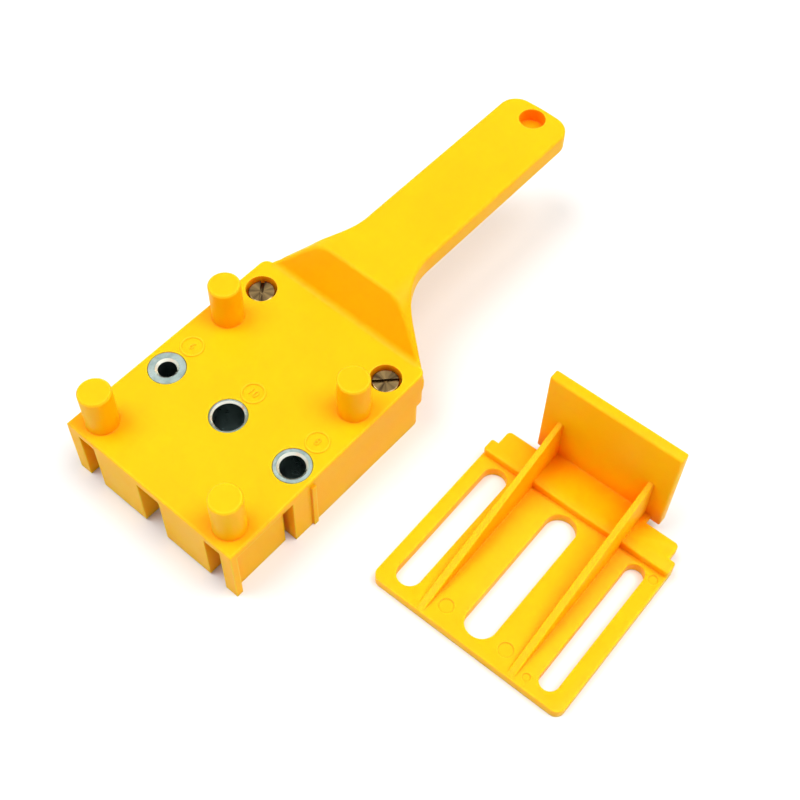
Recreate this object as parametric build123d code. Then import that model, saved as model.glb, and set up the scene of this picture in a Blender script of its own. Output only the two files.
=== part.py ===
from build123d import *
import os
from math import radians, tan

# Hand-held dowel drill guide: moulded block with handle, steel bushes, clamp screws and stop plate.

os.makedirs("parts", exist_ok=True)

# Guide block. X runs along the row of bushes, Y towards the handle, Z up from the feet.
# The origin is on the axis of the middle bush, level with the feet.
half_width = 35.0
front_y = -34.3
rear_y = 53.0
block_height = 25.0
deck = 3.0
wall = 2.4
rear_corner = 3.0
deck_chamfer = 0.4
relief = 0.6

# Walls of the block below its deck
side_recess = 2.4
slot_front_y = -10.8
slot_width = 2.3
front_gap_inner = 4.7
front_block_from_side = 11.4
rear_step_z = 10.0
rear_step = 2.4
rib = 2.0
rib_depth = 14.0
mark_rib_width = 1.8
mark_rib_proud = 0.8

# Pegs that straddle the edge of a board
peg_from_side = 7.8
peg_front_y = -26.6
peg_rear_y = 27.4
peg_radius = 5.25
peg_height = 16.0
peg_chamfer = 0.5

# Drill bushes
bush_from_side = 8.0
bush_radius = 6.25
bush_chamfer = 0.3
bore_small = 6.1
bore_middle = 10.1
bore_large = 8.2
bore_chamfer = 0.8
boss_wall = 1.6

# Clamp screws, their counterbored bosses and the square nuts below them
screw_from_side = 8.0
screw_from_rear = 10.6
thread_radius = 2.5
thread_end_round = 0.4
shank_length = 18.0
head_radius = 4.5
head_height = 3.0
head_chamfer = 0.4
slot_cut_width = 1.3
slot_cut_depth = 1.3
slot_turn_left = 129.5
slot_turn_right = 46.0
counterbore_radius = 5.25
counterbore_depth = 4.4
screw_hole_clearance = 0.3
screw_boss_radius = 7.0
screw_boss_z = 10.0
seat_gap = 0.05
thread_clearance = 0.08
nut_width = 8.0
nut_height = 2.7
nut_corner = 0.4
nut_side_clearance = 0.25
nut_guide_z = 3.0

# Neck and handle
neck_from_side = 1.8
neck_flare = 34.0
neck_sweep = 24.0
shoulder_from_side = 10.6
shoulder_drop = 7.7
shoulder_slope = 45.0
shoulder_round = 12.0
ramp_slope = 65.0
ramp_foot_round = 3.0
ramp_top_round = 1.5
crest_start = 1.0
handle_rise = 15.0
handle_thickness = 8.0
handle_half_width = 13.2
handle_length = 104.0
handle_corner = 7.0
handle_end_bow = 1.0
handle_top_round = 1.0
handle_under_round = 1.5
web_drop = 10.0
web_run = 21.3
recess_from_end = 6.6
recess_radius = 4.65
recess_depth = 5.0

# Stop plate, drawn in its own frame: X across it, Y from its front edge to its fence
plate_half_width = 34.75
plate_thickness = 4.0
plate_corner = 3.0
slot_start = 4.8
slot_end = 53.0
slot_left_middle = -26.1
slot_left_width = 8.35
slot_centre_middle = 0.3
slot_centre_width = 10.4
slot_right_middle = 26.45
slot_right_width = 6.3
step_start = 56.0
step_rise = 3.0
shoulder_end = 60.7
ear_half_width = 32.3
ear_end = 66.6
ear_corner = 1.5
slit_inner = 20.0
fence_face = 69.5
fence_half_width = 23.3
fence_thickness = 3.8
fence_bottom = 4.5
fence_top = 42.3
fence_round = 0.6
gusset_middle = 16.6
gusset_foot_width = 2.6
gusset_top_width = 1.8
gusset_start = 0.5
gusset_top = 23.8
plate_gap = 26.73
plate_y = -2.81
plate_turn = 1.68

# Sizes that follow from the ones above
deck_under = block_height - deck
bush_pitch = half_width - bush_from_side
peg_x = half_width - peg_from_side
front_gap_outer = half_width - front_block_from_side
screw_x = half_width - screw_from_side
screw_y = rear_y - screw_from_rear
front_wall_outer = half_width - side_recess
front_wall_inner = front_wall_outer - wall
slot_rear_y = slot_front_y + slot_width
boss_radius = bush_radius + boss_wall
handle_top_z = block_height + handle_rise
handle_under_z = handle_top_z - handle_thickness
handle_end_y = rear_y + handle_length
neck_foot_half = half_width - neck_from_side
web_foot_z = block_height - web_drop
web_end_y = rear_y + web_run
recess_y = handle_end_y - recess_from_end
plate_x = half_width + plate_gap + plate_half_width
head_seat_z = block_height - counterbore_depth


def span_box(x_low, x_high, y_low, y_high, z_low, z_high):
    """Box between two opposite corners."""
    size = Box(x_high - x_low, y_high - y_low, z_high - z_low, align=(Align.MIN, Align.MIN, Align.MIN))
    return Pos(x_low, y_low, z_low) * size


def post(x, y, z_low, z_high, radius):
    """Upright cylinder between two heights."""
    return Pos(x, y, z_low) * Cylinder(radius, z_high - z_low, align=(Align.CENTER, Align.CENTER, Align.MIN))


def both_sides(solid):
    """A solid and its mirror image across the middle plane."""
    return solid + mirror(solid, about=Plane.YZ)


def block_outline(back_y):
    """Plan of the block, square in front and rounded at its two rear corners."""
    middle_y = (front_y + back_y) / 2
    outline = Pos(0, middle_y) * Rectangle(2 * half_width, back_y - front_y)
    rear_vertices = outline.vertices().group_by(Axis.Y)[-1]
    return fillet(rear_vertices, rear_corner)


def skirt(back_y, z_low, z_high):
    """Outer wall behind the side slots, open below, with its back face at back_y."""
    outline = block_outline(back_y)
    ring = outline - offset(outline, -wall)
    walls = Pos(0, 0, z_low) * extrude(ring, z_high - z_low)
    keep = span_box(-half_width, half_width, slot_rear_y, back_y, z_low, z_high)
    return walls & keep


def front_leg():
    """Corner fin with the recessed side wall behind it, on the +X side."""
    fin = span_box(front_wall_inner, half_width, front_y, front_y + wall, 0, deck_under)
    side = span_box(front_wall_inner, front_wall_outer, front_y, slot_front_y, 0, deck_under)
    slot_return = span_box(bush_pitch, half_width, slot_rear_y, slot_rear_y + wall, 0, deck_under)
    return fin + side + slot_return


def front_block():
    """Hollow box behind the front face on the +X side: one face wall and two walls back to the bosses."""
    face = span_box(front_gap_inner, front_gap_outer, front_y, front_y + wall, relief, deck_under)
    inner = span_box(front_gap_inner, front_gap_inner + wall, front_y, 0, relief, deck_under)
    outer = span_box(front_gap_outer - wall, front_gap_outer, front_y, 0, relief, deck_under)
    return face + inner + outer


def ribs():
    """Stiffening ribs under the deck between the bosses and the outer wall."""
    rib_low = deck_under - rib_depth
    half_rib = rib / 2
    cross = span_box(-bush_pitch, bush_pitch, -half_rib, half_rib, rib_low, deck_under)
    spine = span_box(-half_rib, half_rib, 0, rear_y - wall / 2, rib_low, deck_under)
    boss_front_y = screw_y - screw_boss_radius
    side = span_box(screw_x - half_rib, screw_x + half_rib, 0, boss_front_y + rib / 2, rib_low, deck_under)
    tail = span_box(screw_x - half_rib, screw_x + half_rib, screw_y, rear_y - wall / 2, screw_boss_z, deck_under)
    return cross + spine + both_sides(side + tail)


def nut_guide():
    """Two flat ribs under a screw boss that keep the square nut from turning, on the +X side."""
    inside = nut_width / 2 + nut_side_clearance
    guide_back = rear_y - rear_step - wall / 2
    guide_front = screw_y - nut_width / 2
    ribs_pair = Part()
    for side in (-1, 1):
        middle = screw_x + side * (inside + rib / 2)
        ribs_pair += span_box(middle - rib / 2, middle + rib / 2, guide_front, guide_back, nut_guide_z, deck_under)
    return ribs_pair


def neck_plan():
    """Plan of neck and handle: flare at the block, sweep into the handle, bowed rounded end."""
    root_y = rear_y - wall
    flare = tan(radians(neck_flare))
    root_half = neck_foot_half + wall / flare
    sweep_y = rear_y + (neck_foot_half - handle_half_width) * flare
    end_side_y = handle_end_y - handle_end_bow
    outline = make_face([
        Polyline(
            (handle_half_width, end_side_y), (handle_half_width, sweep_y), (root_half, root_y),
            (-root_half, root_y), (-handle_half_width, sweep_y), (-handle_half_width, end_side_y)),
        ThreePointArc((-handle_half_width, end_side_y), (0, handle_end_y), (handle_half_width, end_side_y)),
    ])
    outline = fillet(outline.vertices().filter_by(lambda v: abs(v.Y - end_side_y) < 0.01), handle_corner)
    return fillet(outline.vertices().filter_by(lambda v: abs(v.Y - sweep_y) < 0.01), neck_sweep)


def neck_side():
    """Side view of neck and handle: ramp up from the deck, flat top, arched web underneath."""
    root_y = rear_y - wall
    ramp_top_y = rear_y + handle_rise / tan(radians(ramp_slope))
    past_end = handle_end_y + wall
    outline = make_face([
        Polyline(
            (root_y, web_foot_z), (root_y, block_height), (rear_y, block_height), (ramp_top_y, handle_top_z),
            (past_end, handle_top_z), (past_end, handle_under_z), (web_end_y, handle_under_z)),
        TangentArc((web_end_y, handle_under_z), (root_y, web_foot_z), tangent=(-1, 0)),
    ])
    foot = outline.vertices().filter_by(lambda v: abs(v.X - rear_y) < 0.01)
    return fillet(foot, ramp_foot_round)


def neck_front():
    """View along the handle: flat top with sloping, rounded shoulders down to the block."""
    shoulder_x = half_width - shoulder_from_side
    slope = tan(radians(shoulder_slope))
    top_half = shoulder_x - shoulder_drop / slope
    foot_half = top_half + (handle_top_z - web_foot_z) / slope
    outline = make_face(Polyline(
        (-top_half, handle_top_z), (top_half, handle_top_z), (foot_half, web_foot_z),
        (-foot_half, web_foot_z), (-top_half, handle_top_z)))
    return fillet(outline.vertices().group_by(Axis.Y)[-1], shoulder_round)


def crest(solid):
    """Edges round the top of the ramp, where it meets the handle's top and the shoulders."""
    slope = tan(radians(ramp_slope))

    def on_ramp(point):
        return abs((point.Y - rear_y) * slope - (point.Z - block_height)) < 0.02

    chain = solid.edges().filter_by(lambda e: all(on_ramp(e @ share) for share in (0, 0.5, 1)))
    return chain.filter_by(lambda e: e.center().Z > block_height + crest_start)


def rim(solid, side):
    """Edges where the upright sides meet the upper faces (side 1) or the lower faces (side -1)."""
    upright = solid.faces().filter_by(lambda f: abs(f.normal_at().Z) < 0.01).edges()
    level = solid.faces().filter_by(lambda f: f.normal_at().Z * side > 0.2).edges()
    return [e for e in level if e in upright and e.center().Y > rear_y - wall / 2]


def neck_and_handle():
    """Ramped neck and flat handle: what its plan, side view and front view share, with rounded rims."""
    plan = Pos(0, 0, web_foot_z) * extrude(neck_plan(), handle_top_z - web_foot_z)
    side = extrude(Plane.YZ * neck_side(), half_width, both=True)
    front = extrude(Plane.XZ * neck_front(), -(handle_end_y + wall))
    solid = (plan & side & front).solid()
    solid = solid.fillet(ramp_top_round, crest(solid))
    solid = solid.fillet(handle_top_round, rim(solid, 1))
    solid = solid.fillet(handle_under_round, rim(solid, -1))
    recess = post(0, recess_y, handle_top_z - recess_depth, handle_top_z, recess_radius)
    return Part() + solid - recess


def pegs():
    """Four round pegs that stand on the deck."""
    peg = post(0, 0, deck_under, block_height + peg_height, peg_radius)
    peg = chamfer(peg.edges().sort_by(Axis.Z)[-1], peg_chamfer)
    return [Pos(side * peg_x, y, 0) * peg for side in (-1, 1) for y in (peg_front_y, peg_rear_y)]


def guide_body():
    """The moulded block, pegs, neck and handle in one piece."""
    outline = block_outline(rear_y)
    deck_plate = Pos(0, 0, deck_under) * extrude(outline, deck)
    deck_plate = chamfer(deck_plate.faces().sort_by(Axis.Z)[-1].edges(), deck_chamfer)
    upper_skirt = skirt(rear_y, rear_step_z, deck_under)
    lower_skirt = skirt(rear_y - rear_step, 0, rear_step_z + wall)
    body = deck_plate + upper_skirt + lower_skirt
    body += both_sides(front_leg() + front_block() + nut_guide())
    body += ribs()
    for x in (-bush_pitch, 0, bush_pitch):
        body += post(x, 0, relief, deck_under, boss_radius)
    screw_boss = post(screw_x, screw_y, screw_boss_z, deck_under, screw_boss_radius)
    half_mark = mark_rib_width / 2
    mark = span_box(half_width - wall, half_width + mark_rib_proud, -half_mark, half_mark, 0, deck_under)
    body += both_sides(screw_boss + mark)
    for peg in pegs():
        body += peg
    body += neck_and_handle()
    for x in (-bush_pitch, 0, bush_pitch):
        body -= post(x, 0, 0, block_height, bush_radius)
    for side in (-1, 1):
        body -= post(side * screw_x, screw_y, 0, block_height, thread_radius + screw_hole_clearance)
        body -= post(side * screw_x, screw_y, head_seat_z, block_height, counterbore_radius)
    return body


def bush(bore):
    """Hard steel drill bush, flush with the deck: chamfered mouth on top, square exit by the work."""
    r = bore / 2
    section = make_face(Polyline(
        (r, 0), (bush_radius - bush_chamfer, 0), (bush_radius, bush_chamfer),
        (bush_radius, block_height - bush_chamfer), (bush_radius - bush_chamfer, block_height),
        (r + bore_chamfer, block_height), (r, block_height - bore_chamfer), (r, 0)))
    return revolve(Plane.XZ * section, Axis.Z)


def clamp_screw(x, slot_turn):
    """Slotted cheese-head screw, sunk below the deck; its thread is drawn as a plain shank."""
    seat = head_seat_z + seat_gap
    head = post(0, 0, seat, seat + head_height, head_radius)
    head = chamfer(head.edges().sort_by(Axis.Z)[-1], head_chamfer)
    shank = post(0, 0, seat - shank_length, seat, thread_radius)
    shank = chamfer(shank.edges().sort_by(Axis.Z)[0], thread_end_round)
    top = seat + head_height
    slot = span_box(-head_radius, head_radius, -slot_cut_width / 2, slot_cut_width / 2, top - slot_cut_depth, top)
    return Pos(x, screw_y, 0) * (head + shank - Rot(0, 0, slot_turn) * slot)


def clamp_nut(x):
    """Square nut under the boss, held from turning by the two ribs beside it."""
    top = screw_boss_z - seat_gap
    blank = span_box(-nut_width / 2, nut_width / 2, -nut_width / 2, nut_width / 2, top - nut_height, top)
    blank = fillet(blank.edges().filter_by(Axis.Z), nut_corner)
    hole = post(0, 0, top - nut_height, top, thread_radius + thread_clearance)
    return Pos(x, screw_y, 0) * (blank - hole)


def long_slot(middle, width):
    """Round-ended slot through the stop plate."""
    length = slot_end - slot_start
    shape = Pos(middle, (slot_start + slot_end) / 2) * SlotOverall(length, width, rotation=90)
    return extrude(shape, plate_thickness)


def gusset(middle):
    """Tapered triangular web from the front of the plate up to the top of its fence."""
    length = fence_face - gusset_start
    rise = gusset_top - plate_thickness
    triangle = make_face(Polyline(
        (gusset_start, plate_thickness), (fence_face, plate_thickness), (fence_face, gusset_top),
        (gusset_start, plate_thickness)))
    web = extrude(Plane.YZ * triangle, gusset_foot_width, both=True)
    section = make_face(Polyline(
        (-gusset_foot_width / 2, plate_thickness), (gusset_foot_width / 2, plate_thickness),
        (gusset_top_width / 2, plate_thickness + rise), (-gusset_top_width / 2, plate_thickness + rise),
        (-gusset_foot_width / 2, plate_thickness)))
    taper = Pos(0, gusset_start, 0) * extrude(Plane.XZ * section, -length)
    return Pos(middle, 0, 0) * (web & taper)


def stop_plate():
    """Slotted plate with a raised rear edge and an upright fence held by two gussets."""
    width = 2 * plate_half_width
    sheet = Pos(0, (step_start + plate_thickness) / 2) * Rectangle(width, step_start + plate_thickness)
    sheet = fillet(sheet.vertices().group_by(Axis.Y)[0], plate_corner)
    plate = extrude(sheet, plate_thickness)
    for middle, slot in (
            (slot_left_middle, slot_left_width), (slot_centre_middle, slot_centre_width),
            (slot_right_middle, slot_right_width)):
        plate -= long_slot(middle, slot)
    top = step_rise + plate_thickness
    plate += span_box(-plate_half_width, plate_half_width, step_start, step_start + plate_thickness, 0, top)
    plate += span_box(-plate_half_width, plate_half_width, step_start, shoulder_end, step_rise, top)
    ears = Pos(0, (shoulder_end + ear_end) / 2) * Rectangle(2 * ear_half_width, ear_end - shoulder_end)
    ears = fillet(ears.vertices().group_by(Axis.Y)[-1], ear_corner)
    plate += Pos(0, 0, step_rise) * extrude(ears, plate_thickness)
    plate -= both_sides(span_box(slit_inner, fence_half_width, shoulder_end, ear_end, step_rise, top))
    plate += span_box(-slit_inner, slit_inner, shoulder_end, fence_face + fence_thickness, fence_bottom, top)
    fence_sheet = Pos(0, (fence_bottom + fence_top) / 2) * Rectangle(2 * fence_half_width, fence_top - fence_bottom)
    fence_sheet = fillet(fence_sheet.vertices(), fence_round)
    plate += Pos(0, fence_face, 0) * extrude(Plane.XZ * fence_sheet, -fence_thickness)
    plate += both_sides(gusset(gusset_middle))
    return Pos(plate_x, plate_y, 0) * Rot(0, 0, plate_turn) * plate


def save(node, solid):
    """Write one node as a STEP file."""
    export_step(solid, "parts/" + node + ".step")


save("guide_body", guide_body())
save("bush_small", Pos(-bush_pitch, 0, 0) * bush(bore_small))
save("bush_middle", bush(bore_middle))
save("bush_large", Pos(bush_pitch, 0, 0) * bush(bore_large))
save("clamp_screw_left", clamp_screw(-screw_x, slot_turn_left))
save("clamp_screw_right", clamp_screw(screw_x, slot_turn_right))
save("clamp_nut_left", clamp_nut(-screw_x))
save("clamp_nut_right", clamp_nut(screw_x))
save("stop_plate", stop_plate())
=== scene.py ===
"""Looks of the drill guide and its loose stop plate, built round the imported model."""
import math

import bpy
from mathutils import Matrix, Vector


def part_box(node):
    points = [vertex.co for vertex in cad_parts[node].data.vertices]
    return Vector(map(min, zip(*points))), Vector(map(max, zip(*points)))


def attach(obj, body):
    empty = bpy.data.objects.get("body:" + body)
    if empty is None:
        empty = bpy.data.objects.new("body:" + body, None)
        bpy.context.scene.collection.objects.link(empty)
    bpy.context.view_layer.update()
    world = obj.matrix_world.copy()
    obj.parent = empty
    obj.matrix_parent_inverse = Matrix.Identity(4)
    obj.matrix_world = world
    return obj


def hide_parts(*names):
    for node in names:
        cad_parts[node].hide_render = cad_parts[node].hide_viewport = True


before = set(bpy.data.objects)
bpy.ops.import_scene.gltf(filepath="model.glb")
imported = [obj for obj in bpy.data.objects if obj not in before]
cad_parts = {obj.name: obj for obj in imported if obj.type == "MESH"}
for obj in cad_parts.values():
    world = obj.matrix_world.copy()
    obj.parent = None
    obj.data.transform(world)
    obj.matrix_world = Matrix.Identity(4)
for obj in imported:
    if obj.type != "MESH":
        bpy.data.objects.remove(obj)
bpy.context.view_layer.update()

bl_info = {
    "name": "Drill Guide",
    "version": (1, 0, 0),
    "blender": (4, 5, 0),
    "location": "View3D > Sidebar > Drill Guide",
    "description": "Finishes and small parts of a hand-held drill guide",
    "category": "Object",
}

MM = 0.001
SIDES = ("left", "right")
BUSHES = ("bush_small", "bush_middle", "bush_large")

# Camera of the main view, in front and to the right of the block and high above it
CAMERA_PLACE = (177.79 * MM, -135.05 * MM, 361.59 * MM)
CAMERA_AZIMUTH = 39.20
CAMERA_ELEVATION = 56.26
CAMERA_ROLL = 1.85
CAMERA_LENS = 58.84
CAMERA_NEAR = 0.01
CAMERA_FAR = 20.0
SENSOR_WIDTH = 36.0

# Directions that the soft lights come from: high on the right, high on the left, and above
RIGHT_FROM = Vector((0.37, 0.28, 1.0))
LEFT_FROM = Vector((-0.38, -0.26, 1.0))
TOP_FROM = Vector((0.0, 0.0, 1.0))
FLOOR_SIZE = 8.0

# Corners that lie this near to each other are joined, in the moulding and in a thread
MERGE = 0.001 * MM
THREAD_MERGE = 0.005 * MM

# A corner or edge this near to a face counts as lying on it
NEAR = 0.1 * MM

# How far a cutting tool reaches past the face that it cuts, and a screw's shank into its head
PAST = 1.0 * MM
SHANK_SUNK = 0.2 * MM

# Faces that meet at more than these angles get a rounded edge, or stay sharp in the shading
SOFTENED_ANGLE = math.radians(40)
SLOT_ANGLE = math.radians(50)
SMOOTH_ANGLE = math.radians(35)

# Metric thread: parts of its pitch that a flank and the crest take, points round one turn,
# and turns made past each end before it is cut to length
FLANK_SHARE = 0.36
CREST_SHARE = 0.12
THREAD_STEPS = 28
SPARE_TURNS = 2

# Sizes of the painted reflection patches and the cutter marks on a screw's plating, on a circle of radius one
# round its axis
REFLECTION_PATCH_SIZE = 0.9
CUTTER_MARK_SIZE = 0.12

# How deep the stop plate's parts run into each other, and its gussets into the plate and the fence
OVERLAP = 2.0 * MM
GUSSET_SUNK = 0.5 * MM

# Small steps between the stop plate's parts, so that no two of their faces coincide
EAR_STEP = 0.02 * MM
FOOT_STEP = 0.03 * MM
GUSSET_STEP = 0.05 * MM


# Helpers for meshes

def start_clean():
    """Leave edit mode and select nothing."""
    if bpy.context.object and bpy.context.object.mode != "OBJECT":
        bpy.ops.object.mode_set(mode="OBJECT")
    bpy.ops.object.select_all(action="DESELECT")


def pick(obj):
    """Make one object the only selected and active one."""
    start_clean()
    obj.select_set(True)
    bpy.context.view_layer.objects.active = obj


def settle(obj):
    """Put the object's place into its mesh, so that it sits at the origin."""
    pick(obj)
    bpy.ops.object.transform_apply(location=True, rotation=True, scale=True)


def apply_modifier(obj, kind, **settings):
    """Add one modifier, set it and apply it."""
    pick(obj)
    modifier = obj.modifiers.new(kind.lower(), kind)
    for name, value in settings.items():
        setattr(modifier, name, value)
    bpy.ops.object.modifier_apply(modifier=modifier.name)


def select_edges(obj, keep):
    """In edit mode, select the edges whose middle and direction pass the test."""
    bpy.ops.object.mode_set(mode="OBJECT")
    mesh = obj.data
    for group in (mesh.vertices, mesh.edges, mesh.polygons):
        group.foreach_set("select", [False] * len(group))
    for edge in mesh.edges:
        start, end = (mesh.vertices[i].co for i in edge.vertices)
        edge.select = keep((start + end) / 2, end - start)
    bpy.ops.object.mode_set(mode="EDIT")
    bpy.ops.mesh.select_mode(type="EDGE")


def cut_away(obj, tool):
    """Cut one object with another, which is then removed."""
    apply_modifier(obj, "BOOLEAN", operation="DIFFERENCE", object=tool, solver="EXACT")
    pick(tool)
    bpy.ops.object.delete()


def put_together(obj, other):
    """Unite two objects in the first one."""
    apply_modifier(obj, "BOOLEAN", operation="UNION", object=other, solver="EXACT")
    pick(other)
    bpy.ops.object.delete()


def cylinder(radius, z_low, z_high, x, y, sides):
    """Plain upright cylinder, the start of a turned piece."""
    start_clean()
    bpy.ops.mesh.primitive_cylinder_add(
        vertices=sides, radius=radius, depth=z_high - z_low, location=(x, y, (z_low + z_high) / 2))
    return bpy.context.active_object


def block(x_low, x_high, y_low, y_high, z_low, z_high):
    """Plain block between two opposite corners, the start of a moulded piece."""
    start_clean()
    bpy.ops.mesh.primitive_cube_add(
        size=1, location=((x_low + x_high) / 2, (y_low + y_high) / 2, (z_low + z_high) / 2))
    obj = bpy.context.active_object
    obj.scale = (x_high - x_low, y_high - y_low, z_high - z_low)
    settle(obj)
    return obj


def runs_along(way, axis):
    """Tell whether an edge runs nearly along one axis."""
    return abs(getattr(way, axis)) > 0.9 * way.length


def round_upright(obj, radius, keep, segments=8):
    """Round the upright edges whose middle passes the test."""
    select_edges(obj, lambda middle, way: runs_along(way, "z") and keep(middle))
    bpy.ops.mesh.bevel(offset=radius, segments=segments, affect="EDGES")
    bpy.ops.object.mode_set(mode="OBJECT")


def soften(obj, radius, segments=3, sharp=SOFTENED_ANGLE):
    """Round every sharp edge of a piece."""
    apply_modifier(obj, "BEVEL", width=radius, segments=segments, limit_method="ANGLE", angle_limit=sharp)


def finish_piece(obj, name, material, body):
    """Name a piece, shade it, give it its finish and hang it on its body."""
    settle(obj)
    obj.name = name
    obj.data.name = name
    obj.data.materials.clear()
    obj.data.materials.append(material)
    bpy.ops.object.shade_smooth_by_angle(angle=SMOOTH_ANGLE)
    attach(obj, body)


# Helpers for materials

class Nodes:
    """Short hand for building the nodes of a material or of the world, from left to right."""

    def __init__(self, owner):
        owner.use_nodes = True
        self.tree = owner.node_tree

    def add(self, kind, **settings):
        node = self.tree.nodes.new(kind)
        for name, value in settings.items():
            setattr(node, name, value)
        return node

    def feed(self, socket, value):
        """Link a node's output to a socket, or set a plain value there."""
        if isinstance(value, bpy.types.NodeSocket):
            self.tree.links.new(value, socket)
        else:
            socket.default_value = value

    def math(self, operation, first, second=0.0):
        node = self.add("ShaderNodeMath", operation=operation)
        self.feed(node.inputs[0], first)
        self.feed(node.inputs[1], second)
        return node.outputs[0]

    def between(self, value, from_low, from_high, to_low, to_high):
        """Stretch one range of a value to another, and hold it at the ends."""
        node = self.add("ShaderNodeMapRange")
        self.feed(node.inputs["Value"], value)
        names = ("From Min", "From Max", "To Min", "To Max")
        for name, number in zip(names, (from_low, from_high, to_low, to_high)):
            node.inputs[name].default_value = number
        return node.outputs[0]

    def seen(self):
        """One where the camera looks, also in a mirror or through glass, and zero for the light given off."""
        path = self.add("ShaderNodeLightPath")
        direct = self.math("MAXIMUM", path.outputs["Is Camera Ray"], path.outputs["Is Glossy Ray"])
        return self.math("MAXIMUM", direct, path.outputs["Is Transmission Ray"])


class Finish(Nodes):
    """One material, with its patterns placed on the piece itself."""

    def __init__(self, name):
        self.material = bpy.data.materials.new(name)
        super().__init__(self.material)
        self.shader = self.tree.nodes["Principled BSDF"]
        self.place = self.add("ShaderNodeTexCoord").outputs["Object"]

    def shade(self, name, value):
        """Set one of the shader's own inputs."""
        self.feed(self.shader.inputs[name], value)

    def noise(self, size, detail=2.0, stretch=(1, 1, 1), place=None):
        """Noise whose blotches are about size across, in metres or in the units of another place."""
        mapping = self.add("ShaderNodeMapping")
        mapping.inputs["Scale"].default_value = stretch
        self.feed(mapping.inputs["Vector"], place or self.place)
        node = self.add("ShaderNodeTexNoise")
        self.feed(node.inputs["Vector"], mapping.outputs[0])
        node.inputs["Scale"].default_value = 1 / size
        node.inputs["Detail"].default_value = detail
        return node.outputs["Fac"]

    def blend(self, share, first, second):
        """Mix two colours, the second one by its share."""
        node = self.add("ShaderNodeMix", data_type="RGBA")
        self.feed(node.inputs["Factor"], share)
        for socket, value in zip([s for s in node.inputs if s.type == "RGBA"], (first, second)):
            self.feed(socket, value)
        return next(s for s in node.outputs if s.type == "RGBA")

    def openness(self, reach):
        """One in the open, down to zero in the corners and recesses of the same piece."""
        node = self.add("ShaderNodeAmbientOcclusion", samples=8, only_local=True)
        node.inputs["Distance"].default_value = reach
        return node.outputs["AO"]

    def rounded(self, radius):
        """Normal with the sharp edges rounded off by the given radius."""
        node = self.add("ShaderNodeBevel", samples=4)
        node.inputs["Radius"].default_value = radius
        return node.outputs[0]

    def edges(self, soft):
        """One along the sharp edges and zero on flat faces, from the rounded normal."""
        likeness = self.add("ShaderNodeVectorMath", operation="DOT_PRODUCT")
        self.feed(likeness.inputs[0], soft)
        self.feed(likeness.inputs[1], self.add("ShaderNodeNewGeometry").outputs["Normal"])
        return self.between(likeness.outputs["Value"], 0.85, 0.99, 1.0, 0.0)

    def bump(self, height, depth, before=None):
        """Bump of the given depth in metres, on top of another one."""
        node = self.add("ShaderNodeBump")
        node.inputs["Distance"].default_value = depth
        self.feed(node.inputs["Height"], height)
        if before is not None:
            self.feed(node.inputs["Normal"], before)
        return node.outputs[0]

    def position(self):
        """Place on the piece, split into its three directions."""
        split = self.add("ShaderNodeSeparateXYZ")
        self.feed(split.inputs[0], self.place)
        return split.outputs["X"], split.outputs["Y"], split.outputs["Z"]

    def joined(self, x, y, z=0.0):
        """Vector of three values."""
        join = self.add("ShaderNodeCombineXYZ")
        for socket, value in zip(join.inputs, (x, y, z)):
            self.feed(socket, value)
        return join.outputs[0]

    def round_about(self, x, y):
        """Direction round the upright axis at x and its twin at minus x, the same all along the radius."""
        place_x, place_y, _ = self.position()
        across = self.math("SUBTRACT", self.math("ABSOLUTE", place_x), x)
        turn = self.math("ARCTAN2", self.math("SUBTRACT", place_y, y), across)
        side = self.math("SIGN", place_x)
        return self.joined(self.math("COSINE", turn), self.math("SINE", turn), side)

    def from_bush_axis(self, pitch):
        """Distance from the nearest bush's axis, and height above the table."""
        place_x, place_y, place_z = self.position()
        wrap = self.add("ShaderNodeMath", operation="WRAP")
        for socket, value in zip(wrap.inputs, (place_x, pitch / 2, -pitch / 2)):
            self.feed(socket, value)
        distance = self.add("ShaderNodeVectorMath", operation="LENGTH")
        self.feed(distance.inputs[0], self.joined(wrap.outputs[0], place_y))
        return distance.outputs["Value"], place_z


def moulded_plastic(look, name, glow):
    """Warm yellow moulding: flow clouding, satin grain, rubbing marks, light let in at thin walls, painted
    shade in recesses and a painted edge highlight.
    """
    n = Finish(name)
    cloud = n.between(n.noise(look.cloud_size, 3.0), 0.3, 0.7, 0.0, 1.0)
    speck = n.between(n.noise(look.speck_size, 2.0), 0.35, 0.75, 0.0, 0.35)
    tone = n.blend(cloud, look.colour, look.cloud_colour)
    tone = n.blend(speck, tone, look.cloud_colour)
    open_sky = n.openness(look.recess_reach)
    # Painted shade: corners and recesses, where the piece shades itself, are blended towards a deeper orange
    tone = n.blend(n.between(open_sky, 0.18, 0.82, 1.0, 0.0), tone, look.painted_shade_colour)
    soft = n.rounded(look.edge_softness)
    # Painted highlight: the convex edges out in the open are blended towards a paler yellow
    edge = n.math("MULTIPLY", n.edges(soft), n.between(open_sky, 0.75, 0.95, 0.0, look.painted_highlight_share))
    n.shade("Base Color", n.blend(edge, tone, look.painted_highlight_colour))
    gloss = n.noise(look.gloss_size, 4.0)
    n.shade("Roughness", n.between(gloss, 0.25, 0.75, look.roughness - 0.06, look.roughness + 0.08))
    grain = n.bump(n.noise(look.grain_size, 2.0), look.grain_depth, before=soft)
    rub = n.noise(look.rub_size, 6.0, stretch=(9, 0.5, 9))
    n.shade("Normal", n.bump(rub, look.grain_depth * 0.6, before=grain))
    n.shade("IOR", 1.46)
    n.shade("Specular IOR Level", 0.12)
    n.shade("Subsurface Weight", glow)
    n.shade("Subsurface Radius", (1.0, 0.25, 0.03))
    n.shade("Subsurface Scale", look.glow_depth)
    return n.material


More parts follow.
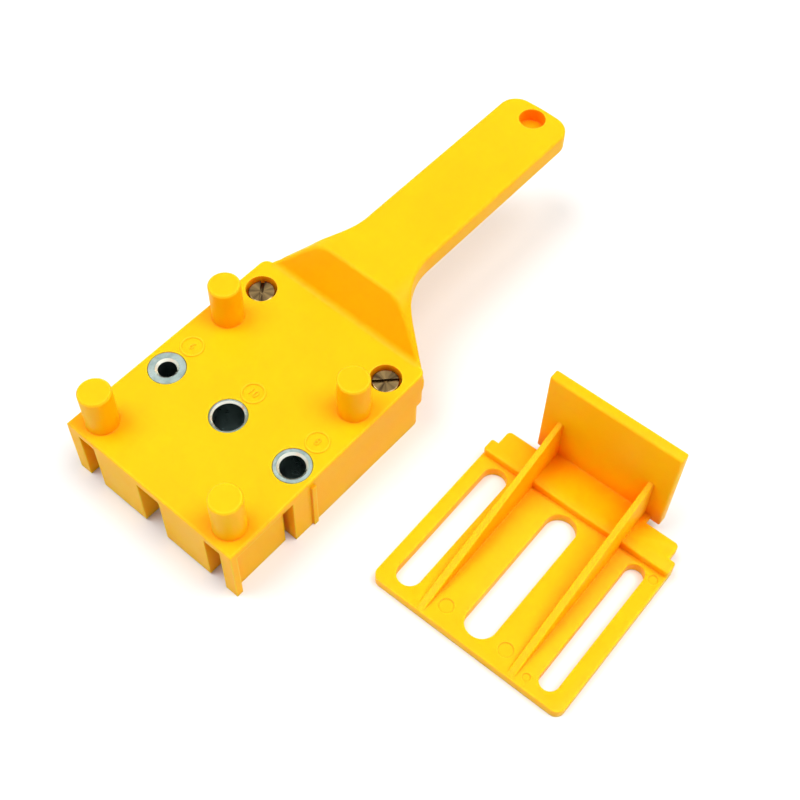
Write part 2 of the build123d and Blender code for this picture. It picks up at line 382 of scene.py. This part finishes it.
def bush_steel(look):
    """Ground steel with turning rings and stains on its ring face, a bright mouth with a painted reflection
    of the plastic, and painted shade down the bore.
    """
    n = Finish("bush_steel")
    radius, height = n.from_bush_axis(look.pitch)
    stain = n.between(n.noise(look.stain_size, 4.0), 0.38, 0.62, 0.0, 1.0)
    face = n.blend(stain, look.face_colour, look.stain_colour)
    inner = n.math("LESS_THAN", radius, look.radius - look.rim)
    # The bright yellowish mouth is turned steel with a painted reflection of the plastic; the dark bore below
    # it is painted shade
    mouth = n.math("MULTIPLY", inner, n.math("LESS_THAN", height, look.height - look.mouth_start))
    bore = n.math("MULTIPLY", inner, n.math("LESS_THAN", height, look.height - look.bore_start))
    n.shade("Base Color", n.blend(bore, n.blend(mouth, face, look.mouth_colour), look.bore_shade_colour))
    n.shade("Roughness", n.between(stain, 0.0, 1.0, 0.26, 0.42))
    n.shade("Metallic", 1.0)
    rings = n.math("SINE", n.math("MULTIPLY", radius, 2 * math.pi / look.ring_pitch))
    n.shade("Normal", n.bump(rings, look.ring_depth, before=n.bump(stain, look.stain_depth)))
    return n.material


def screw_plating(look):
    """Yellow zinc plating with a painted reflection in dark and bright fans round the screw's axis, and fine
    radial cutter marks.
    """
    n = Finish("yellow_zinc_plating")
    fan = n.round_about(look.x, look.y)
    # Painted reflection: the plating colour and a dark colour in patches drawn out in fans round the axis
    patch = n.between(n.noise(REFLECTION_PATCH_SIZE, 3.0, place=fan), 0.38, 0.62, 0.0, 1.0)
    n.shade("Base Color", n.blend(patch, look.plating_colour, look.reflection_dark_colour))
    n.shade("Roughness", n.between(patch, 0.0, 1.0, 0.14, 0.34))
    n.shade("Metallic", 1.0)
    n.shade("Normal", n.bump(n.noise(CUTTER_MARK_SIZE, 2.0, place=fan), look.cutter_mark_depth))
    return n.material


def floor_paint(look):
    """Plain pale floor that shows white where nothing shades it."""
    n = Finish("pale_floor")
    n.shade("Base Color", look.floor_colour)
    n.shade("Roughness", 0.9)
    n.shade("Specular IOR Level", 0.1)
    n.shade("Emission Color", (1, 1, 1, 1))
    n.shade("Emission Strength", n.math("MULTIPLY", n.seen(), look.floor_lift))
    return n.material


# Sizes and colours

def colour(name, description, value):
    return bpy.props.FloatVectorProperty(
        name=name, description=description, subtype="COLOR", size=4, min=0, max=1, default=(*value, 1.0))


def length(name, description, value):
    return bpy.props.FloatProperty(
        name=name, description=description, subtype="DISTANCE", unit="LENGTH", default=value)


def lengths(name, description, values):
    return bpy.props.FloatVectorProperty(
        name=name, description=description, unit="LENGTH", size=len(values), default=values)


def angle(name, description, degrees):
    return bpy.props.FloatProperty(
        name=name, description=description, subtype="ANGLE", default=math.radians(degrees))


def share(name, description, value):
    return bpy.props.FloatProperty(
        name=name, description=description, subtype="FACTOR", min=0, max=1, default=value)


def strength(name, description, value):
    return bpy.props.FloatProperty(name=name, description=description, min=0, default=value)


head_low, head_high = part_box("clamp_screw_right")
nut_low, nut_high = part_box("clamp_nut_right")
bush_low, bush_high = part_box("bush_large")


class MouldingLook(bpy.types.PropertyGroup):
    """Plastic of the block and the stop plate."""

    colour: colour("Colour", "Plastic in full light", (0.98, 0.50, 0.0006))
    cloud_colour: colour("Cloud colour", "Slightly deeper clouding in the plastic", (0.96, 0.455, 0.0006))
    # Painted shade for the corners and recesses
    painted_shade_colour: colour("Deep colour", "Deeper orange of corners and recesses", (1.0, 0.25, 0.0))
    recess_reach: length("Recess reach", "How near walls count as a corner or recess", 9.0 * MM)
    cloud_size: length("Cloud size", "Across one cloud in the plastic", 30.0 * MM)
    speck_size: length("Speck size", "Across one fine speck in the plastic", 2.2 * MM)
    gloss_size: length("Gloss size", "Across one more or less shiny patch", 12.0 * MM)
    roughness: share("Roughness", "Middle of the satin gloss", 0.42)
    grain_size: length("Grain size", "Across one grain of the mould's satin", 0.9 * MM)
    grain_depth: length("Grain depth", "Depth of the mould's satin grain", 0.02 * MM)
    rub_size: length("Rub size", "Spacing of the fine rubbing marks, before they are drawn out", 3.0 * MM)
    edge_softness: length("Edge softness", "Rounding of the moulded edges as they catch the light", 0.9 * MM)
    # Painted highlight along the open outer edges, its share and its colour
    painted_highlight_share: share("Edge light", "How much paler the painted highlight makes the outer edges", 0.8)
    painted_highlight_colour: colour("Edge colour", "Painted highlight on the open outer edges", (1.0, 0.72, 0.03))
    glow: share("Glow", "Share of light that enters the plastic", 0.7)
    glow_depth: length("Glow depth", "How far red light travels in the plastic", 2.5 * MM)


class RibTrim(bpy.types.PropertyGroup):
    """End of the middle rib, which is cut off flush with the outside of the rear wall."""

    wall_face: length("Wall face", "Outside of the rear wall below its step", 50.6 * MM)
    reach: length("Reach", "How far behind the wall the cut goes", 3.0 * MM)
    half_width: length("Half width", "From the middle of the rib to the sides of the cut", 2.0 * MM)
    low_z: length("Underside", "Lower side of the cut above the table", 6.0 * MM)
    high_z: length("Top", "Upper side of the cut, at the step in the rear wall", 10.0 * MM)


class BushLook(bpy.types.PropertyGroup):
    """Steel of the drill bushes."""

    pitch: length("Pitch", "From one bush to the next", (bush_low.x + bush_high.x) / 2)
    radius: length("Radius", "Outside of a bush", (bush_high.x - bush_low.x) / 2)
    height: length("Height", "Top of the bushes above the table", bush_high.z)
    rim: length("Rim", "Outer part of a bush that stays clean steel all the way down", 0.6 * MM)
    mouth_start: length("Mouth start", "Depth at which the bright chamfer begins", 0.04 * MM)
    bore_start: length("Bore start", "Depth at which the painted bore shade begins", 0.9 * MM)
    ring_pitch: length("Ring pitch", "From one turning ring to the next", 0.12 * MM)
    ring_depth: length("Ring depth", "Depth of the turning rings", 0.002 * MM)
    stain_size: length("Stain size", "Across one dull patch", 4.0 * MM)
    stain_depth: length("Stain depth", "How far a dull patch stands back", 0.01 * MM)
    face_colour: colour("Face", "Clean ground steel", (0.36, 0.44, 0.41))
    stain_colour: colour("Stain", "Dull patches on the ring face", (0.19, 0.25, 0.235))
    # Bright turned steel at the chamfer, tinted yellow as a painted reflection of the plastic
    mouth_colour: colour("Mouth", "Bright turned chamfer", (0.66, 0.67, 0.58))
    # Painted shade down the bore
    bore_shade_colour: colour("Bore", "Painted shade inside the bore", (0.15, 0.21, 0.20))


class ScrewShape(bpy.types.PropertyGroup):
    """Slotted cheese-head screw with a metric thread."""

    x: length("Across", "Screw axis from the middle plane", (head_low.x + head_high.x) / 2)
    y: length("Along", "Screw axis from the row of bushes", (head_low.y + head_high.y) / 2)
    tip_z: length("Tip height", "Lower end of the shank", head_low.z)
    head_z: length("Head height", "Top of the head", head_high.z)
    head_radius: length("Head radius", "Outside of the head", (head_high.x - head_low.x) / 2)
    head_height: length("Head thickness", "Height of the head", 3.0 * MM)
    head_round: length("Head rounding", "Rounding of the head's upper edge", 0.5 * MM)
    slot_width: length("Slot width", "Width of the driver slot", 1.3 * MM)
    slot_depth: length("Slot depth", "Depth of the driver slot", 1.3 * MM)
    slot_edge: length("Slot edge", "Rounding of the slot's broken edges", 0.07 * MM)
    thread_radius: length("Thread radius", "Crest of the thread", 2.5 * MM)
    root_radius: length("Root radius", "Root of the thread", 2.04 * MM)
    pitch: length("Pitch", "Advance of the thread in one turn", 0.8 * MM)
    turn_left: angle("Left slot", "Turn of the left screw's slot from across", 129.5)
    turn_right: angle("Right slot", "Turn of the right screw's slot from across", 46.0)
    cutter_mark_depth: length("Cutter marks", "Depth of the radial marks on the head", 0.03 * MM)
    # Real yellow zinc, and the dark side of the painted reflection in fans
    plating_colour: colour("Plating", "Clean yellow zinc", (0.27, 0.18, 0.075))
    reflection_dark_colour: colour("Dark reflection", "Dark patches", (0.045, 0.028, 0.014))


class NutShape(bpy.types.PropertyGroup):
    """Square nut below each boss."""

    width: length("Width", "Across the flats", nut_high.x - nut_low.x)
    low_z: length("Underside", "Lower face above the table", nut_low.z)
    high_z: length("Top", "Upper face above the table", nut_high.z)
    corner: length("Corner", "Rounding of the upright corners", 0.4 * MM)
    thread_gap: length("Thread gap", "Play between nut and screw threads", 0.08 * MM)
    mouth: length("Mouth", "Countersink at both ends of the thread", 0.35 * MM)


class MarkShape(bpy.types.PropertyGroup):
    """Raised ring and size number beside each bush."""

    offset: length("Offset", "From the bush axis to the ring's middle", 11.0 * MM)
    radius: length("Ring radius", "Outside of the ring", 4.0 * MM)
    line: length("Line width", "Width of the ring's line", 0.65 * MM)
    proud: length("Height", "How far the marks stand above the deck", 0.28 * MM)
    sunk: length("Sunk", "How far the marks reach into the deck", 0.2 * MM)
    letter: length("Number height", "Height of the size number", 3.6 * MM)


class PlateShape(bpy.types.PropertyGroup):
    """Slotted stop plate, in its own frame: X across it, Y from its front edge to its fence."""

    place: bpy.props.FloatVectorProperty(
        name="Place", description="Middle of the front edge on the table", subtype="TRANSLATION",
        unit="LENGTH", default=(96.48 * MM, -2.81 * MM, 0.0))
    turn: angle("Turn", "Turn on the table", 1.68)
    half_width: length("Half width", "From the middle to either side", 34.75 * MM)
    thickness: length("Thickness", "Plate and ledge", 4.0 * MM)
    corner: length("Corner", "Rounding of the two front corners", 3.0 * MM)
    slot_start: length("Slot start", "Front end of the slots", 3.7 * MM)
    slot_end: length("Slot end", "Rear end of the slots", 54.5 * MM)
    slot_middles: lengths("Slot places", "Middle line of each slot", (-26.1 * MM, 0.3 * MM, 26.45 * MM))
    slot_widths: lengths("Slot widths", "Width of each slot", (8.35 * MM, 10.4 * MM, 6.3 * MM))
    step_start: length("Ledge start", "Front face of the raised ledge", 56.0 * MM)
    step_rise: length("Ledge rise", "Height of the ledge above the plate", 3.0 * MM)
    shoulder_end: length("Shoulder end", "Rear of the ledge's full width", 60.7 * MM)
    ear_half_width: length("Ear half width", "From the middle to the ears' sides", 32.3 * MM)
    ear_end: length("Ear end", "Rear edge of the ears", 66.6 * MM)
    ear_corner: length("Ear corner", "Rounding of the ears' rear corners", 1.5 * MM)
    foot_half_width: length("Foot half width", "Floor between the ears and the fence", 20.0 * MM)
    fence_face: length("Fence face", "Front face of the fence", 69.5 * MM)
    fence_half_width: length("Fence half width", "From the middle to the fence's sides", 23.3 * MM)
    fence_thickness: length("Fence thickness", "Wall of the fence", 3.8 * MM)
    fence_bottom: length("Fence bottom", "Lower edge above the table", 4.5 * MM)
    fence_top: length("Fence top", "Upper edge above the table", 42.3 * MM)
    fence_round: length("Fence rounding", "Rounding of the fence's edges", 0.6 * MM)
    gusset_middle: length("Gusset place", "From the middle to each gusset", 16.6 * MM)
    gusset_foot: length("Gusset foot", "Thickness at the plate", 2.6 * MM)
    gusset_tip: length("Gusset tip", "Thickness at the top", 1.8 * MM)
    gusset_start: length("Gusset start", "Front end of the gussets", 0.5 * MM)
    gusset_top: length("Gusset top", "Where the gussets meet the fence", 23.8 * MM)
    edge: length("Edge", "Rounding of the moulded edges", 0.4 * MM)
    dimple_depth: length("Dimple depth", "Depth of the ejector marks", 0.3 * MM)


# Ejector marks on the stop plate: place across, place along and radius
EJECTOR_MARKS = (
    (-11.0 * MM, 6.5 * MM, 2.4 * MM), (11.0 * MM, 6.5 * MM, 2.4 * MM), (20.6 * MM, 3.5 * MM, 1.3 * MM),
    (32.0 * MM, 53.0 * MM, 1.6 * MM))


class StageLook(bpy.types.PropertyGroup):
    """Floor, lamps and world."""

    floor_colour: colour("Floor", "Plain pale floor", (0.78, 0.78, 0.78))
    floor_lift: share("Floor lift", "Brightness added to the floor as the camera sees it", 0.04)
    fill: share("Fill", "Even light from all round", 0.20)
    right_strength: strength("Right", "Soft light from high on the right", 2.1)
    left_strength: strength("Left", "Soft light from high on the left", 1.7)
    top_strength: strength("Top", "Very soft light from above", 0.8)
    side_spread: angle("Side spread", "Angle that each side light fills", 35)
    top_spread: angle("Top spread", "Angle that the light from above comes from", 130)


# Pieces

def thread_form(radius, root, pitch, z_low, z_high, name):
    """Closed length of thread round the Z axis, its helix counted from height zero."""
    first = math.floor(z_low / pitch) - SPARE_TURNS
    turns = math.ceil(z_high / pitch) + SPARE_TURNS - first
    start_clean()
    bpy.ops.mesh.primitive_plane_add(size=pitch)
    obj = bpy.context.active_object
    obj.name = name
    bpy.ops.object.mode_set(mode="EDIT")
    bpy.ops.mesh.merge(type="CENTER")
    bpy.ops.transform.translate(value=(root, 0, first * pitch))
    flank = pitch * FLANK_SHARE
    crest = pitch * CREST_SHARE
    groove = pitch - 2 * flank - crest
    for across, up in ((radius - root, flank), (0, crest), (root - radius, flank), (0, groove)):
        bpy.ops.mesh.extrude_vertices_move(TRANSFORM_OT_translate={"value": (across, 0, up)})
    apply_modifier(
        obj, "SCREW", angle=2 * math.pi, screw_offset=pitch, iterations=turns, steps=THREAD_STEPS,
        render_steps=THREAD_STEPS, axis="Z", use_merge_vertices=True, merge_threshold=THREAD_MERGE)
    bpy.ops.object.mode_set(mode="EDIT")
    bpy.ops.mesh.select_all(action="SELECT")
    bpy.ops.mesh.remove_doubles(threshold=THREAD_MERGE)
    bpy.ops.mesh.bisect(plane_co=(0, 0, z_low), plane_no=(0, 0, 1), use_fill=True, clear_inner=True)
    bpy.ops.mesh.select_all(action="SELECT")
    bpy.ops.mesh.bisect(plane_co=(0, 0, z_high), plane_no=(0, 0, 1), use_fill=True, clear_outer=True)
    bpy.ops.mesh.select_all(action="SELECT")
    bpy.ops.mesh.normals_make_consistent(inside=False)
    bpy.ops.object.mode_set(mode="OBJECT")
    return obj


def screw_head(shape, turn):
    """Cheese head on the Z axis: rounded upper edge and a driver slot with broken edges."""
    top = shape.head_z
    head = cylinder(shape.head_radius, top - shape.head_height, top, 0, 0, sides=72)
    settle(head)
    select_edges(head, lambda middle, way: middle.z > top - NEAR and not runs_along(way, "z"))
    bpy.ops.mesh.bevel(offset=shape.head_round, segments=4, affect="EDGES")
    bpy.ops.object.mode_set(mode="OBJECT")
    past_head = 1.2 * shape.head_radius
    slot = block(
        -past_head, past_head, -shape.slot_width / 2, shape.slot_width / 2,
        top - shape.slot_depth, top + shape.slot_depth)
    slot.rotation_euler = (0, 0, turn)
    settle(slot)
    cut_away(head, slot)
    soften(head, shape.slot_edge, segments=2, sharp=SLOT_ANGLE)
    return head


def countersink(reach, z, from_below):
    """Cone that opens the mouth of a threaded hole, with its wide end at the given height."""
    low_radius, high_radius = (reach, 0) if from_below else (0, reach)
    middle = z + reach / 2 if from_below else z - reach / 2
    start_clean()
    bpy.ops.mesh.primitive_cone_add(
        vertices=48, radius1=low_radius, radius2=high_radius, depth=reach, location=(0, 0, middle))
    return bpy.context.active_object


class DRILLGUIDE_OT_block_and_handle(bpy.types.Operator):
    """Give the moulded block and handle its plastic and trim its middle rib flush with the rear wall"""

    bl_idname = "drillguide.block_and_handle"
    bl_label = "Block and handle"

    def execute(self, context):
        look = context.scene.moulding_look
        trim = context.scene.rib_trim
        plastic = moulded_plastic(look, "moulded_yellow_plastic", look.glow)
        body = self.joined_copy(context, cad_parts["guide_body"])
        cut_away(body, block(
            -trim.half_width, trim.half_width, trim.wall_face, trim.wall_face + trim.reach,
            trim.low_z, trim.high_z))
        pick(body)
        bpy.ops.mesh.customdata_custom_splitnormals_clear()
        finish_piece(body, "block_and_handle", plastic, "guide")
        apply_modifier(body, "WEIGHTED_NORMAL", mode="FACE_AREA", weight=100, keep_sharp=True)
        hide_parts("guide_body")
        return {"FINISHED"}

    @staticmethod
    def joined_copy(context, node):
        """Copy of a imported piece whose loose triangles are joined."""
        start_clean()
        body = bpy.data.objects.new("block", node.data.copy())
        context.collection.objects.link(body)
        pick(body)
        bpy.ops.object.mode_set(mode="EDIT")
        bpy.ops.mesh.select_all(action="SELECT")
        bpy.ops.mesh.remove_doubles(threshold=MERGE)
        bpy.ops.object.mode_set(mode="OBJECT")
        return body


class DRILLGUIDE_OT_bushes(bpy.types.Operator):
    """Give the three drill bushes their ground steel"""

    bl_idname = "drillguide.bushes"
    bl_label = "Drill bushes"

    def execute(self, context):
        steel = bush_steel(context.scene.bush_look)
        for name in BUSHES:
            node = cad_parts[name]
            node.data.materials.clear()
            node.data.materials.append(steel)
        return {"FINISHED"}


class DRILLGUIDE_OT_screws(bpy.types.Operator):
    """Model the two slotted clamp screws with their threads"""

    bl_idname = "drillguide.screws"
    bl_label = "Clamp screws"

    def execute(self, context):
        shape = context.scene.screw_shape
        plating = screw_plating(shape)
        seat = shape.head_z - shape.head_height
        for side, x, turn in zip(SIDES, (-shape.x, shape.x), (shape.turn_left, shape.turn_right)):
            shank = thread_form(
                shape.thread_radius, shape.root_radius, shape.pitch, shape.tip_z, seat + SHANK_SUNK, "shank")
            head = screw_head(shape, turn)
            put_together(head, shank)
            head.location = (x, shape.y, 0)
            finish_piece(head, "slotted_screw_" + side, plating, side + "_screw")
            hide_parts("clamp_screw_" + side)
        return {"FINISHED"}


class DRILLGUIDE_OT_nuts(bpy.types.Operator):
    """Model the two threaded square nuts"""

    bl_idname = "drillguide.nuts"
    bl_label = "Square nuts"

    def execute(self, context):
        shape = context.scene.nut_shape
        screw = context.scene.screw_shape
        plating = screw_plating(screw)
        plating.name = "nut_plating"
        half = shape.width / 2
        gap = shape.thread_gap
        reach = screw.thread_radius + gap + shape.mouth
        for side, x in zip(SIDES, (-screw.x, screw.x)):
            nut = block(-half, half, -half, half, shape.low_z, shape.high_z)
            round_upright(nut, shape.corner, lambda middle: True, segments=3)
            cut_away(nut, thread_form(
                screw.thread_radius + gap, screw.root_radius + gap, screw.pitch,
                shape.low_z - PAST, shape.high_z + PAST, "tap"))
            cut_away(nut, countersink(reach, shape.low_z, True))
            cut_away(nut, countersink(reach, shape.high_z, False))
            nut.location = (x, screw.y, 0)
            finish_piece(nut, "square_nut_" + side, plating, side + "_nut")
            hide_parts("clamp_nut_" + side)
        return {"FINISHED"}


class DRILLGUIDE_OT_size_marks(bpy.types.Operator):
    """Model the faint raised ring and size number beside each bush"""

    bl_idname = "drillguide.size_marks"
    bl_label = "Size marks"

    def execute(self, context):
        shape = context.scene.mark_shape
        bushes = context.scene.bush_look
        plastic = moulded_plastic(context.scene.moulding_look, "size_mark_plastic", 0.0)
        for name, x, size in zip(BUSHES, (-bushes.pitch, 0.0, bushes.pitch), ("6", "10", "8")):
            mark = self.ring(shape, x, bushes.height)
            number = self.number(shape, x, bushes.height, size)
            pick(mark)
            number.select_set(True)
            bpy.ops.object.join()
            finish_piece(mark, name.replace("bush", "size_mark"), plastic, "guide")
        return {"FINISHED"}

    @staticmethod
    def ring(shape, x, deck):
        """Thin raised ring on the deck."""
        ring = cylinder(shape.radius, deck - shape.sunk, deck + shape.proud, x, shape.offset, sides=64)
        inner = cylinder(shape.radius - shape.line, deck - PAST, deck + PAST, x, shape.offset, sides=64)
        cut_away(ring, inner)
        return ring

    @staticmethod
    def number(shape, x, deck, size):
        """Raised number in the middle of the ring."""
        half_height = (shape.sunk + shape.proud) / 2
        start_clean()
        bpy.ops.object.text_add(location=(x, shape.offset, deck - shape.sunk + half_height))
        text = bpy.context.active_object.data
        text.body = size
        text.size = shape.letter
        text.align_x = "CENTER"
        text.align_y = "CENTER"
        text.extrude = half_height
        text.resolution_u = 3
        bpy.ops.object.convert(target="MESH")
        number = bpy.context.active_object
        settle(number)
        return number


class DRILLGUIDE_OT_stop_plate(bpy.types.Operator):
    """Model the slotted stop plate with its ledge, ears, fence, gussets and softened edges"""

    bl_idname = "drillguide.stop_plate"
    bl_label = "Stop plate"

    def execute(self, context):
        shape = context.scene.plate_shape
        plate = self.slotted_sheet(shape)
        for part in (self.ledge(shape), self.ears(shape), self.foot(shape), self.fence(shape),
                     self.gusset(shape, -shape.gusset_middle), self.gusset(shape, shape.gusset_middle)):
            put_together(plate, part)
        plate.rotation_euler = (0, 0, shape.turn)
        plate.location = shape.place
        plastic = bpy.data.materials["moulded_yellow_plastic"]
        finish_piece(plate, "slotted_stop_plate", plastic, "guide")
        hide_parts("stop_plate")
        return {"FINISHED"}

    @staticmethod
    def slotted_sheet(shape):
        """Flat plate with rounded front corners, three long slots and the ejector marks."""
        sheet = block(
            -shape.half_width, shape.half_width, 0, shape.step_start + shape.thickness, 0, shape.thickness)
        round_upright(sheet, shape.corner, lambda middle: middle.y < shape.corner)
        for middle, width in zip(shape.slot_middles, shape.slot_widths):
            slot = block(
                middle - width / 2, middle + width / 2, shape.slot_start, shape.slot_end,
                -shape.thickness, 2 * shape.thickness)
            almost_half = 0.4995 * width
            round_upright(slot, almost_half, lambda middle: True, segments=14)
            cut_away(sheet, slot)
        soften(sheet, shape.edge)
        for x, y, radius in EJECTOR_MARKS:
            cut_away(sheet, cylinder(
                radius, shape.thickness - shape.dimple_depth, shape.thickness + PAST, x, y, sides=32))
        return sheet

    @staticmethod
    def ledge(shape):
        """Raised bar across the rear of the plate."""
        bar = block(
            -shape.half_width, shape.half_width, shape.step_start, shape.shoulder_end,
            shape.step_rise, shape.step_rise + shape.thickness)
        round_upright(bar, 2 * shape.edge, lambda middle: True, segments=4)
        soften(bar, shape.edge)
        return bar

    @staticmethod
    def ears(shape):
        """Rear part of the ledge with its two rounded ears."""
        ears = block(
            -shape.ear_half_width, shape.ear_half_width, shape.shoulder_end - OVERLAP, shape.ear_end,
            shape.step_rise + EAR_STEP, shape.step_rise + shape.thickness - EAR_STEP)
        round_upright(ears, shape.ear_corner, lambda middle: middle.y > shape.shoulder_end)
        soften(ears, shape.edge)
        return ears

    @staticmethod
    def foot(shape):
        """Floor that carries the fence, behind the ledge."""
        foot = block(
            -shape.foot_half_width, shape.foot_half_width, shape.shoulder_end, shape.fence_face + OVERLAP,
            shape.fence_bottom + FOOT_STEP, shape.step_rise + shape.thickness - FOOT_STEP)
        soften(foot, shape.edge)
        return foot

    @staticmethod
    def fence(shape):
        """Upright wall that stops against the work."""
        fence = block(
            -shape.fence_half_width, shape.fence_half_width, shape.fence_face,
            shape.fence_face + shape.fence_thickness, shape.fence_bottom, shape.fence_top)
        soften(fence, shape.fence_round)
        return fence

    @staticmethod
    def gusset(shape, place):
        """Web that rises from the front of the plate to the fence and thins towards its top."""
        start = shape.gusset_start
        top = shape.gusset_top
        half_foot = shape.gusset_foot / 2
        web = block(
            place - half_foot, place + half_foot, start, shape.fence_face + GUSSET_SUNK,
            shape.thickness - GUSSET_SUNK, top)

        def on_top(middle, way):
            return runs_along(way, "x") and middle.z > top - NEAR

        def sloping(middle, way):
            return abs(way.y) > 0.5 * way.length and abs(way.z) > 0.05 * way.length

        select_edges(web, lambda middle, way: on_top(middle, way) and middle.y < start + NEAR)
        bpy.ops.transform.translate(value=(0, 0, shape.thickness - top + GUSSET_STEP))
        select_edges(web, on_top)
        thin = shape.gusset_tip / shape.gusset_foot
        bpy.ops.transform.resize(value=(thin, 1, 1), center_override=(place, shape.fence_face, top))
        select_edges(web, sloping)
        bpy.ops.mesh.bevel(offset=0.8 * shape.edge, segments=3, affect="EDGES")
        bpy.ops.object.mode_set(mode="OBJECT")
        return web


class DRILLGUIDE_OT_stage(bpy.types.Operator):
    """Set the floor, the soft lamps, the pale world and the camera"""

    bl_idname = "drillguide.stage"
    bl_label = "Stage"

    def execute(self, context):
        look = context.scene.stage_look
        start_clean()
        bpy.ops.mesh.primitive_plane_add(size=FLOOR_SIZE)
        floor = context.active_object
        floor.name = "floor"
        floor.data.materials.append(floor_paint(look))
        self.lamp("right_light", RIGHT_FROM, look.right_strength, look.side_spread)
        self.lamp("left_light", LEFT_FROM, look.left_strength, look.side_spread)
        self.lamp("top_light", TOP_FROM, look.top_strength, look.top_spread)
        self.world(context, look)
        self.camera(context)
        return {"FINISHED"}

    @staticmethod
    def lamp(name, towards, strength, spread):
        """Wide soft light from one direction."""
        bpy.ops.object.light_add(type="SUN", location=(0, 0, 1))
        lamp = bpy.context.active_object
        lamp.name = name
        lamp.data.energy = strength
        lamp.data.angle = spread
        lamp.rotation_euler = towards.to_track_quat("Z", "Y").to_euler()

    @staticmethod
    def world(context, look):
        """Even light from all round, which looks white to the camera."""
        world = bpy.data.worlds.new("pale_room")
        context.scene.world = world
        n = Nodes(world)
        background = n.tree.nodes["Background"]
        n.feed(background.inputs["Color"], (1, 1, 1, 1))
        n.feed(background.inputs["Strength"], n.between(n.seen(), 0.0, 1.0, look.fill, 1.0))

    @staticmethod
    def camera(context):
        """Camera of the main view, turned by its azimuth, elevation and roll."""
        azimuth, elevation, roll = (math.radians(v) for v in (CAMERA_AZIMUTH, CAMERA_ELEVATION, CAMERA_ROLL))
        flat = math.cos(elevation)
        back = Vector((math.sin(azimuth) * flat, -math.cos(azimuth) * flat, math.sin(elevation)))
        level = Vector((math.cos(azimuth), math.sin(azimuth), 0))
        up = back.cross(level)
        right = math.cos(roll) * level + math.sin(roll) * up
        above = math.cos(roll) * up - math.sin(roll) * level
        turn = Matrix((right, above, back)).transposed()
        bpy.ops.object.camera_add(location=CAMERA_PLACE, rotation=turn.to_euler())
        camera = context.active_object
        camera.name = "camera"
        camera.data.lens = CAMERA_LENS
        camera.data.sensor_width = SENSOR_WIDTH
        camera.data.clip_start = CAMERA_NEAR
        camera.data.clip_end = CAMERA_FAR
        context.scene.camera = camera
        context.scene.view_settings.view_transform = "Standard"


OPERATORS = (
    DRILLGUIDE_OT_block_and_handle, DRILLGUIDE_OT_bushes, DRILLGUIDE_OT_screws, DRILLGUIDE_OT_nuts,
    DRILLGUIDE_OT_size_marks, DRILLGUIDE_OT_stop_plate, DRILLGUIDE_OT_stage)


class DRILLGUIDE_PT_panel(bpy.types.Panel):
    """Lists the pieces of the drill guide"""

    bl_idname = "DRILLGUIDE_PT_panel"
    bl_label = "Drill Guide"
    bl_space_type = "VIEW_3D"
    bl_region_type = "UI"
    bl_category = "Drill Guide"

    def draw(self, context):
        for operator in OPERATORS:
            self.layout.operator(operator.bl_idname)


GROUPS = {
    "moulding_look": MouldingLook, "rib_trim": RibTrim, "bush_look": BushLook, "screw_shape": ScrewShape,
    "nut_shape": NutShape, "mark_shape": MarkShape, "plate_shape": PlateShape, "stage_look": StageLook}


def register():
    for name, group in GROUPS.items():
        bpy.utils.register_class(group)
        setattr(bpy.types.Scene, name, bpy.props.PointerProperty(type=group))
    for cls in (*OPERATORS, DRILLGUIDE_PT_panel):
        bpy.utils.register_class(cls)


def unregister():
    for cls in reversed((*OPERATORS, DRILLGUIDE_PT_panel)):
        bpy.utils.unregister_class(cls)
    for name, group in reversed(GROUPS.items()):
        delattr(bpy.types.Scene, name)
        bpy.utils.unregister_class(group)


def main():
    register()
    bpy.ops.drillguide.block_and_handle()
    bpy.ops.drillguide.bushes()
    bpy.ops.drillguide.screws()
    bpy.ops.drillguide.nuts()
    bpy.ops.drillguide.size_marks()
    bpy.ops.drillguide.stop_plate()
    bpy.ops.drillguide.stage()


if __name__ == "__main__":
    main()
